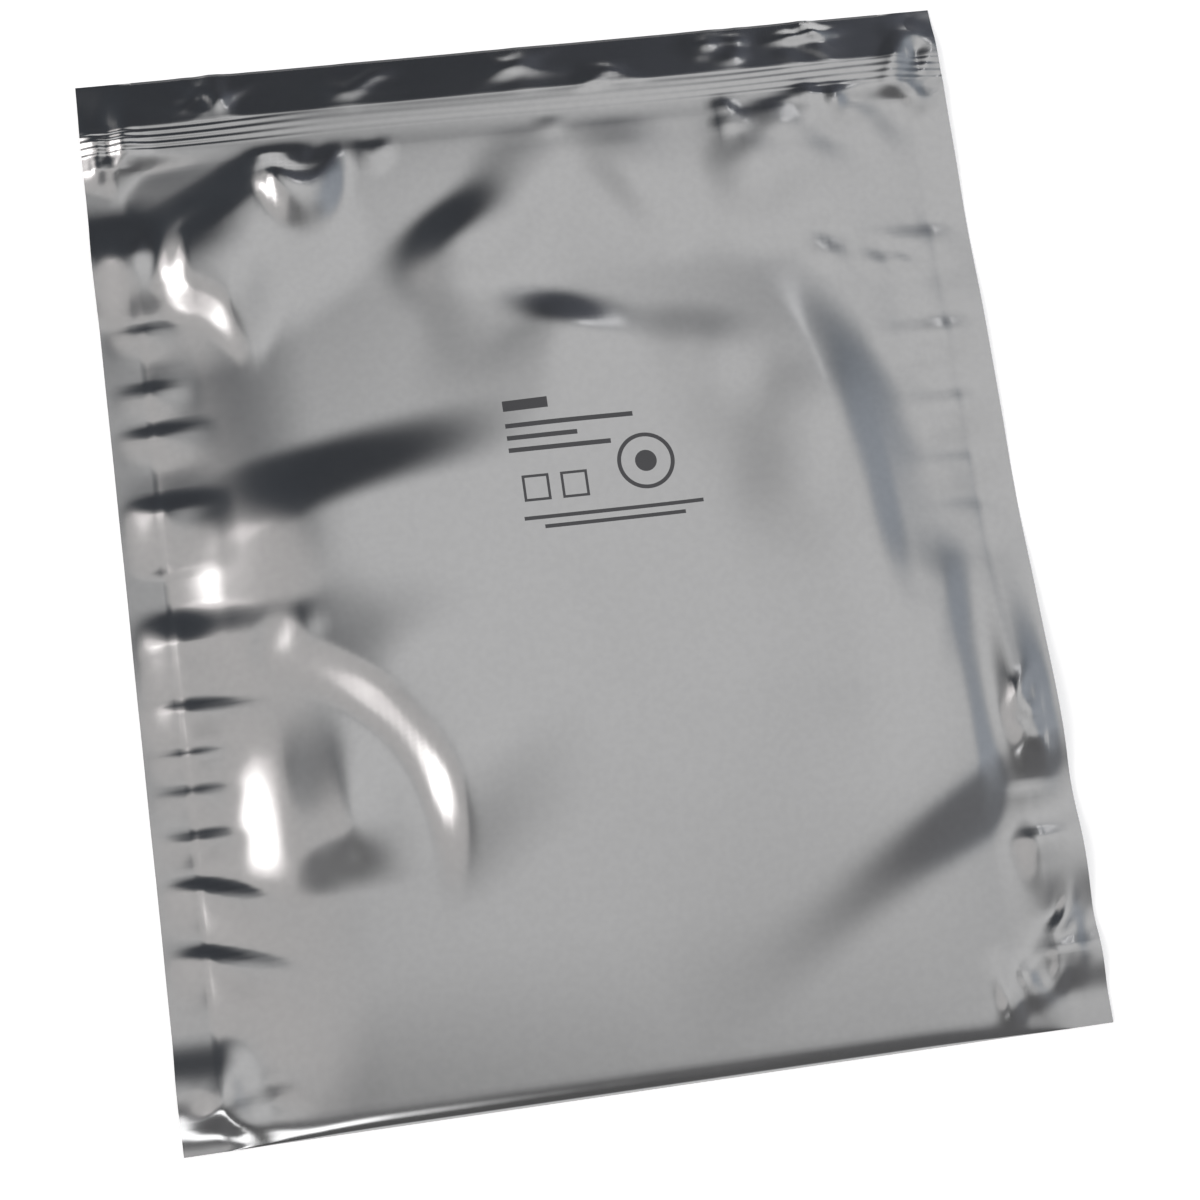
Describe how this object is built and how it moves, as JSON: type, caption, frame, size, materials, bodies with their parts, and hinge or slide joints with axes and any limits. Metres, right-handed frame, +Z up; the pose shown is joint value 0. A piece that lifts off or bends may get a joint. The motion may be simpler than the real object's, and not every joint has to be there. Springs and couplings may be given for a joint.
{
  "type": "anti static shielding bag",
  "caption": "Flat zip top shielding bag of metallised film, welded at both sides, lying empty with a little air in its pouch.",
  "frame": {"origin": "centre of the bag's outline on the surface that it lies on", "axes": "+X across the bag, +Y along its length towards the zip and the mouth, +Z up from the surface"},
  "size_m": [0.278, 0.332, 0.011],
  "materials": {
    "metallised_film": "smooth semi mirror grey film with fine creases",
    "zip_plastic": "smooth translucent looking extruded plastic"
  },
  "bodies": {
    "root": {"film_bag": "metallised_film", "zip_groove_strip": "zip_plastic", "zip_rib_strip": "zip_plastic"}
  },
  "joints": []
}
